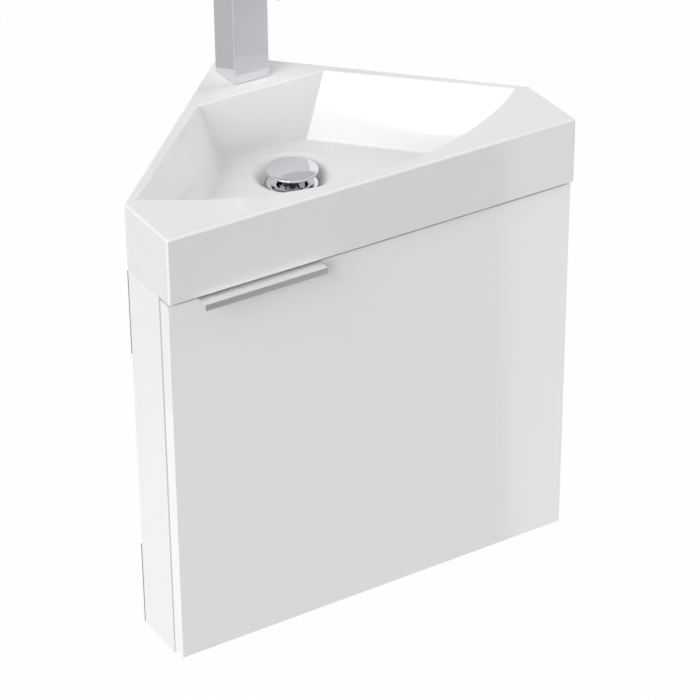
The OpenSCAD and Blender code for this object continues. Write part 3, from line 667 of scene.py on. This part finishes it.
def rounded(outline, radius, steps):
    """An outline of straight edges with its corners rounded."""
    count = len(outline)
    return [point for i in range(count)
            for point in corner_points(outline[i - 1], outline[i], outline[(i + 1) % count],
                                       radius, steps)]


def basin_outline(inset, radius, steps=8):
    """The five-sided plan of the basin with its corner flat, moved in by inset."""
    sizes = bpy.context.scene.vanity_basin
    corner_y = BASIN_HIGH.y + sizes.corner_cut
    half = HALF_WIDTH - inset
    back = corner_y - inset * ROOT2
    flat = sizes.corner_cut - inset * (ROOT2 - 1)
    plan = [(-half, FRONT_Y + inset), (half, FRONT_Y + inset), (half, back - half),
            (flat, back - flat), (-flat, back - flat), (-half, back - half)]
    return rounded(plan, radius, steps)


def turned(centre, radius, start, end, steps):
    """Points of an arc in the plan, from start to end in radians, both ends included."""
    return [(centre.x + radius * math.cos(a), centre.y + radius * math.sin(a))
            for a in (start + (end - start) * i / steps for i in range(steps + 1))]


def at(outline, z):
    """The points of an outline at a height."""
    return [(x, y, z) for x, y in outline]


def quarter(steps):
    """Angles over a quarter turn, both ends included."""
    return [math.pi / 2 * i / steps for i in range(steps + 1)]


def bowl_outline(share_down, grow, radius):
    """The bowl's outline at a share of its depth, moved out by grow: straight back and long
    walls, an arc in front, and round corners. It runs clockwise from the middle of the back."""
    sizes = bpy.context.scene.vanity_basin
    corner_steps, wall_steps, arc_steps = 6, 10, 48
    inset = sizes.ledge + sizes.wall_lean * share_down - grow
    back_d = sizes.bowl_back - sizes.back_lean * share_down + grow
    half = HALF_WIDTH + sizes.side_depth - inset * ROOT2 - back_d
    fall = math.pi / 4 - sizes.ledge_taper + sizes.wall_twist * share_down
    front_r = sizes.rim_radius - sizes.front_lean * share_down + grow
    middle = Vector((0, FRONT_Y + sizes.rim + sizes.rim_radius))
    corner = Vector((half, FRONT_Y + back_d))
    along = Vector((math.cos(fall), -math.sin(fall)))
    inward = Vector((-math.sin(fall), -math.cos(fall)))
    wall_turn = math.pi / 2 - fall
    first = corner + Vector((-radius * math.tan(fall / 2), -radius))
    right = turned(first, radius, math.pi / 2, wall_turn, corner_steps)
    # the tip lies on the line beside the wall and on the circle inside the arc
    start = corner + inward * radius - middle
    offset = start.dot(along)
    reach = math.sqrt(offset * offset - start.length_squared + (front_r - radius) ** 2) - offset
    tip = start + along * reach
    turn_end = math.atan2(tip.y, tip.x)
    tip_points = turned(tip + middle, radius, wall_turn, turn_end, corner_steps)
    wall_from, wall_to = Vector(right[-1]), Vector(tip_points[0])
    right += [tuple(wall_from.lerp(wall_to, i / wall_steps)) for i in range(1, wall_steps)]
    right += tip_points
    right += turned(middle, front_r, turn_end, -math.pi / 2, arc_steps)[1:]
    return right + [(-x, y) for x, y in right[-2::-1]]


def outer_block():
    """The outside of the basin, with round edges."""
    sizes = bpy.context.scene.vanity_basin
    upper, lower = sizes.edge_round, sizes.under_round
    lower_steps, upper_steps = 4, 8
    rings = [at(basin_outline(lower * (1 - math.sin(a)), upper),
                APRON_Z + lower * (1 - math.cos(a))) for a in quarter(lower_steps)]
    rings += [at(basin_outline(upper * (1 - math.cos(a)), upper),
                 TOP_Z - upper * (1 - math.sin(a))) for a in quarter(upper_steps)]
    return loft("basin_made", rings)


def wall_layers(start):
    """Depths and insets down the bowl's walls from start, and round the crease at the floor."""
    sizes = bpy.context.scene.vanity_basin
    wall_steps, crease_steps = 8, 8
    straight = sizes.bowl_depth - sizes.floor_round - start
    layers = [(start + straight * i / wall_steps, 0) for i in range(1, wall_steps)]
    layers += [(sizes.bowl_depth - sizes.floor_round * (1 - math.sin(a)),
                sizes.floor_round * (1 - math.cos(a))) for a in quarter(crease_steps)]
    return layers


def ware_block(thickness, top):
    """The ceramic round the bowl as a solid: leaning walls, and a round crease at the floor."""
    sizes = bpy.context.scene.vanity_basin
    rings = [at(bowl_outline(0, thickness, sizes.crease_round + thickness), top)]
    for depth, inset in wall_layers(0):
        plan = bowl_outline(depth / sizes.bowl_depth, thickness - inset, sizes.crease_round)
        rings.append(at(plan, TOP_Z - depth - thickness))
    return loft("ware", rings[::-1])


def bowl_cut():
    """The space of the bowl, with the soft edge of its rim."""
    sizes = bpy.context.scene.vanity_basin
    lip, lip_steps = sizes.rim_round, 6
    over = 0.01
    rings = [at(bowl_outline(0, lip, sizes.crease_round + lip), TOP_Z + over)]
    for a in quarter(lip_steps):
        drop, out = lip * (1 - math.cos(a)), lip * (1 - math.sin(a))
        plan = bowl_outline(drop / sizes.bowl_depth, out, sizes.crease_round + out)
        rings.append(at(plan, TOP_Z - drop))
    for depth, inset in wall_layers(lip):
        plan = bowl_outline(depth / sizes.bowl_depth, -inset, sizes.crease_round)
        rings.append(at(plan, TOP_Z - depth))
    return loft("bowl_cut", rings[::-1])


def dish_cut():
    """The dish, the waste's seat and the waste hole."""
    sizes = bpy.context.scene.vanity_basin
    floor_z = TOP_Z - sizes.bowl_depth
    dish_z = floor_z - sizes.dish_depth
    seat_z = dish_z - sizes.seat_depth
    cap_gap, over = 0.001, 0.004
    seat_r = CAP_HIGH.x + cap_gap
    slope_steps, round_steps = 24, 128
    profile = [(0, floor_z + over), (0, BOSS_Z - over), (sizes.waste_hole, BOSS_Z - over),
               (sizes.waste_hole, seat_z), (seat_r, seat_z), (seat_r, dish_z)]
    profile += [(seat_r + (sizes.dish_radius - seat_r) * i / slope_steps,
                 dish_z + sizes.dish_depth * math.sin(math.pi / 2 * i / slope_steps))
                for i in range(1, slope_steps + 1)]
    profile += [(sizes.dish_radius, floor_z + over)]
    return lathe("dish_cut", profile, (0, WASTE_Y), round_steps)


def boss():
    """The boss under the bowl that the waste is clamped to."""
    sizes = bpy.context.scene.vanity_basin
    floor_z = TOP_Z - sizes.bowl_depth
    foot, rise, margin = 0.008, 0.014, 0.006
    wide, round_steps = sizes.dish_radius + margin, 96
    return lathe("boss", [(0, floor_z), (0, BOSS_Z), (sizes.boss_radius, BOSS_Z),
                          (sizes.boss_radius, BOSS_Z + foot), (wide, BOSS_Z + foot + rise),
                          (wide, floor_z)], (0, WASTE_Y), round_steps)


def tap_hole_cut(low, high):
    """The hole for the tap, through the deck."""
    radius, round_steps = bpy.context.scene.vanity_basin.tap_hole, 64
    return lathe("tap_hole", [(0, high), (0, low), (radius, low), (radius, high)], (0, TAP_Y),
                 round_steps)


class VANITY_OT_basin(Operator):
    """Makes the glazed basin with its bowl, dish and holes"""

    bl_idname = "vanity.make_basin"
    bl_label = "Make Basin"

    def execute(self, context):
        sizes = context.scene.vanity_basin
        deck_z = TOP_Z - sizes.deck
        over = 0.004
        thinner = 0.001  # the bowl's ware against the outer walls
        basin = outer_block()
        combine(basin, self.prism("hollow", sizes.ware, APRON_Z - over, deck_z), "DIFFERENCE")
        ware = ware_block(sizes.ware - thinner, deck_z + over)
        combine(ware, self.prism("inside", sizes.edge_round, BOSS_Z, TOP_Z - over), "INTERSECT")
        combine(basin, ware, "UNION")
        combine(basin, boss(), "UNION")
        for cut in (bowl_cut(), dish_cut(), tap_hole_cut(deck_z - over, TOP_Z + over)):
            combine(basin, cut, "DIFFERENCE")
        seat(smooth(clean(basin), limit=28.0), "basin")
        return {"FINISHED"}

    def prism(self, name, inset, low, high):
        """The basin's plan, moved in by inset, as a solid from low to high."""
        corner_round, corner_steps = 0.001, 2
        plan = basin_outline(inset, corner_round, corner_steps)
        return loft(name, [at(plan, z) for z in (low, high)])


# ---------------------------------------------------------------- waste


def thread(radius, depth, pitch, low, high):
    """Section points of a row of thread crests, from low to high. Each crest goes from its root
    to its top and back at these shares of the pitch."""
    shares = ((0.1, depth), (0.45, 0), (0.6, 0), (0.95, depth))
    turns = int((high - low) / pitch)
    return [(radius - inset, low + i * pitch + part * pitch)
            for i in range(turns) for part, inset in shares]


class VANITY_OT_waste(Operator):
    """Makes the chromed flange with its threaded tube, the cap, the stem, the nut and the seals"""

    bl_idname = "vanity.make_waste"
    bl_label = "Make Waste"

    def execute(self, context):
        steps = context.scene.vanity_fittings.turn_steps
        self.flange(steps)
        self.cap(steps)
        for node in ("waste_stem", "waste_spider", "waste_nut", "waste_under_seal"):
            dress(node, TURNED_EDGE)
        for node in ("waste_latch", "waste_top_seal", "waste_cap_seal"):
            dress(node, SMALL_EDGE)
        return {"FINISHED"}

    def flange(self, steps):
        """The flange and its threaded tube, with a crest that falls softly into the bore."""
        radius, crest = FLANGE_HIGH.x, 0.027
        tube, bore = 0.02095, 0.0182
        thread_depth, pitch = 0.0011, 0.0023
        chamfer, neck, fillet = 0.0012, 0.0004, 0.001
        rim, rise = 0.0011, 0.0028
        low, seat_z = FLANGE_LOW.z, FLANGE_HIGH.z - rise
        edge_z = seat_z + rim
        lip_z = seat_z - 0.003
        thread_from, thread_to = low + 0.0006, seat_z - 0.004
        section = [(bore, low), (tube - chamfer, low)]
        section += thread(tube, thread_depth, pitch, thread_from, thread_to)
        section += [(tube - neck, lip_z), (tube + fillet, seat_z)]
        section += oval((radius - rim, edge_z), (rim, rim), -90, -15, 5)
        section += oval((crest, edge_z), (radius - crest, FLANGE_HIGH.z - edge_z), 0, 75, 10)
        section += oval((crest, lip_z), (crest - bore, FLANGE_HIGH.z - lip_z), 90, 180, 16)
        piece = lathe("waste_flange_made", section, (0, WASTE_Y), steps)
        seat(smooth(piece, limit=40.0), "waste_flange")

    def cap(self, steps):
        """The cap: a low dome over a round lip."""
        radius, low = CAP_HIGH.x, CAP_LOW.z
        lip, under, ease = 0.0017, 0.003, 0.0009
        edge_z = low + 2 * lip
        rise = CAP_HIGH.z - edge_z
        dome = (radius * radius + rise * rise) / (2 * rise)
        dome_steps = 24
        section = [(0, low), (radius - lip - under, low)]
        section += oval((radius - lip, low + lip), (lip, lip), -90, 60, 14)
        for i in range(1, dome_steps + 1):
            out = (radius - ease) * (1 - i / dome_steps)
            section.append((out, edge_z + math.sqrt(dome * dome - out * out) - (dome - rise)))
        piece = lathe("waste_cap_made", section, (0, WASTE_Y), steps)
        seat(smooth(piece, limit=50.0), "waste_cap")


# ---------------------------------------------------------------- tap


class VANITY_OT_tap(Operator):
    """Makes the square tap: column and spout, lever, cartridge and fixings"""

    bl_idname = "vanity.make_tap"
    bl_label = "Make Tap"

    def execute(self, context):
        for node in ("tap_body", "tap_lever"):
            dress(node, CAST_EDGE, steps=3)
        # A pale seal: its colour is partly a painted highlight along the tap's base.
        dress("tap_base_seal", SMALL_EDGE, steps=1, finish="seal")
        for node in ("tap_stud", "tap_clamp", "tap_nut", "tap_cartridge_ring", "tap_rotor_pin",
                     "tap_spindle"):
            dress(node, TURNED_EDGE)
        for node in ("tap_aerator", "tap_cartridge", "tap_rotor", "tap_lever_screw"):
            dress(node, PRESSED_EDGE)
        return {"FINISHED"}


# ---------------------------------------------------------------- cabinet, door, hinges


class VANITY_OT_cabinet(Operator):
    """Makes the boards, rails, wall plates, joints and the foam strip"""

    bl_idname = "vanity.make_cabinet"
    bl_label = "Make Cabinet"

    def execute(self, context):
        edge = context.scene.vanity_cabinet.board_edge
        for node in ("side_left", "side_right", "bottom_board", "front_rail", "upper_rail_left",
                     "upper_rail_right", "lower_rail_left", "lower_rail_right"):
            dress(node, edge)
        for node in ("upper_plate_left", "upper_plate_right", "lower_plate_left",
                     "lower_plate_right"):
            dress(node, PRESSED_EDGE)
        # The foam strip's white partly paints light into the shaded gap under the apron.
        for node in ("cam_discs", "cam_bolts", "wall_plate_screws", "dowels", "basin_foam"):
            dress(node, SMALL_EDGE)
        return {"FINISHED"}


class VANITY_OT_door(Operator):
    """Makes the lacquered door, its edge handle and its buffers"""

    bl_idname = "vanity.make_door"
    bl_label = "Make Door"

    def execute(self, context):
        dress("door_panel", context.scene.vanity_cabinet.door_edge, steps=3)
        dress("door_handle", PRESSED_EDGE)
        dress("handle_screws", SMALL_EDGE)
        dress("door_buffers", MOULDED_EDGE)
        return {"FINISHED"}


class VANITY_OT_hinges(Operator):
    """Makes the two concealed hinges and their screws"""

    bl_idname = "vanity.make_hinges"
    bl_label = "Make Hinges"

    def execute(self, context):
        for level in ("low", "high"):
            for part in ("cup", "arm", "plate", "pin"):
                dress("hinge_" + part + "_" + level, PRESSED_EDGE)
        for part in ("cup", "plate", "arm"):
            dress("hinge_" + part + "_screws", SMALL_EDGE)
        return {"FINISHED"}


# ---------------------------------------------------------------- stage


def pale_floor(colour):
    """A floor that keeps soft shadows and shows near white to the camera and to metal."""
    material, graph = new_material("pale_floor")
    whiteness = 0.985
    matt = graph.node("ShaderNodeBsdfDiffuse", None, {
        "Color": graph.tint(graph.noise(6, 4), colour, 0.99, 1.01)})[0]
    graph.output(graph.node("ShaderNodeMixShader", None, {
        0: graph.seen() * whiteness, 1: matt, 2: graph.glow(1.0)})[0])
    return material


def lamp(name, turn, height, spread, strength):
    """A large soft lamp far away: turn is 0 in front and 90 at the left, in degrees."""
    data = bpy.data.lights.new(name, "SUN")
    data.angle = spread
    data.energy = strength
    turn, height = math.radians(turn), math.radians(height)
    towards = Vector((-math.sin(turn) * math.cos(height), -math.cos(turn) * math.cos(height),
                      math.sin(height)))
    made = place(name, data)
    made.rotation_euler = towards.to_track_quat("Z", "Y").to_euler()
    return made


def sheet(name, corners, material):
    """A flat face that belongs to the stage."""
    piece = new_piece(name, corners, [list(range(len(corners)))])
    piece.data.materials.append(material)
    return piece


def card(name, corners, strength):
    """A bright sheet that only mirrors show."""
    material, graph = new_material(name)
    graph.output(graph.glow(strength))
    piece = sheet(name, corners, material)
    for ray in ("camera", "diffuse", "transmission", "volume_scatter", "shadow"):
        setattr(piece, "visible_" + ray, False)


def oblong(low, high):
    """The corners of an oblong in the plan, between two opposite corners."""
    return [low, (high[0], low[1]), high, (low[0], high[1])]


class VANITY_OT_stage(Operator):
    """Makes the floor, the light and the camera"""

    bl_idname = "vanity.make_stage"
    bl_label = "Make Stage"

    def execute(self, context):
        stage = context.scene.vanity_stage
        context.scene.view_settings.view_transform = "Standard"
        floor_z = TOP_Z - stage.rim_height
        self.room(stage)
        self.floor(stage, floor_z)
        self.lamps(stage)
        self.cards(stage, floor_z)
        self.camera(stage)
        return {"FINISHED"}

    def room(self, stage):
        """Even light from all round, and plain white where the camera or metal sees the room."""
        world = bpy.data.worlds.new("soft_room")
        bpy.context.scene.world = world
        world.use_nodes = True
        graph = Graph(world.node_tree)
        seen = graph.seen()
        light = graph.node("ShaderNodeBackground", None, {
            "Color": (1, 1, 1, 1), "Strength": seen + (1 - seen) * stage.sky})[0]
        graph.output(light, "ShaderNodeOutputWorld")

    def floor(self, stage, floor_z):
        half = 6.0
        plan = oblong((-half, -half), (half, half))
        sheet("floor", at(plan, floor_z), pale_floor(stage.floor))

    def lamps(self, stage):
        for name, turn, height, mirrored in LAMPS:
            made = lamp(name, turn, height, stage.lamp_spread, getattr(stage, name))
            made.visible_glossy = mirrored

    def cards(self, stage, floor_z):
        """The edge between the dark and the light card shows as an upright line in the door."""
        z = floor_z + 0.002
        ceiling_z = TOP_Z + 1.5
        near, far, beside = (0.36, -0.60), (1.13, -1.78), 0.5
        left, right, front = -1.0, 2.4, -2.6
        dark = [near, (left, near[1]), (left, front), (far[0] + beside, front), far]
        light = [near, far, (right, far[1]), (right, near[1])]
        rear = oblong((-1.8, 0.5), (-0.3, 2.6))
        ceiling = oblong((-0.8, -0.6), (2.2, 2.6))
        card("dark_card", at(dark, z), stage.dark_side)
        card("light_card", at(light, z), stage.light_side)
        card("rear_card", at(rear, z), stage.rear_card)
        card("ceiling_card", at(ceiling, ceiling_z), stage.ceiling)

    def camera(self, stage):
        data = bpy.data.cameras.new("camera")
        data.lens = stage.lens
        data.sensor_width = SENSOR_WIDTH
        data.sensor_fit = "HORIZONTAL"
        data.clip_end = 50.0
        yaw, pitch, roll = stage.yaw, stage.pitch, stage.roll
        ahead = Vector((math.sin(yaw) * math.cos(pitch), math.cos(yaw) * math.cos(pitch),
                        -math.sin(pitch)))
        right = Vector((math.cos(yaw), -math.sin(yaw), 0))
        up = right.cross(ahead)
        right, up = (right * math.cos(roll) + up * math.sin(roll),
                     up * math.cos(roll) - right * math.sin(roll))
        turn = Matrix((right, up, -ahead)).transposed()
        camera = place("camera", data)
        camera.matrix_world = Matrix.Translation(CAMERA_AT) @ turn.to_4x4()
        bpy.context.scene.camera = camera


# ---------------------------------------------------------------- panel and main


OPERATORS = (
    VANITY_OT_basin,
    VANITY_OT_waste,
    VANITY_OT_tap,
    VANITY_OT_cabinet,
    VANITY_OT_door,
    VANITY_OT_hinges,
    VANITY_OT_stage,
)


class VANITY_PT_panel(Panel):
    """Lists the steps that dress the vanity"""

    bl_idname = "VANITY_PT_panel"
    bl_label = "Corner Vanity"
    bl_space_type = "VIEW_3D"
    bl_region_type = "UI"
    bl_category = "Vanity"

    def draw(self, context):
        for step in OPERATORS:
            self.layout.operator(step.bl_idname)
        for name, group in SETTINGS.items():
            box = self.layout.box()
            for field in group.__annotations__:
                box.prop(getattr(context.scene, name), field)


def register():
    for group in SETTINGS.values():
        bpy.utils.register_class(group)
    for name, group in SETTINGS.items():
        setattr(bpy.types.Scene, name, PointerProperty(type=group))
    for item in (*OPERATORS, VANITY_PT_panel):
        bpy.utils.register_class(item)


def unregister():
    for item in (VANITY_PT_panel, *OPERATORS[::-1]):
        bpy.utils.unregister_class(item)
    for name, group in SETTINGS.items():
        delattr(bpy.types.Scene, name)
        bpy.utils.unregister_class(group)


def main():
    register()
    for step in OPERATORS:
        verb = step.bl_idname.split(".")[1]
        getattr(bpy.ops.vanity, verb)()


if __name__ == "__main__":
    main()
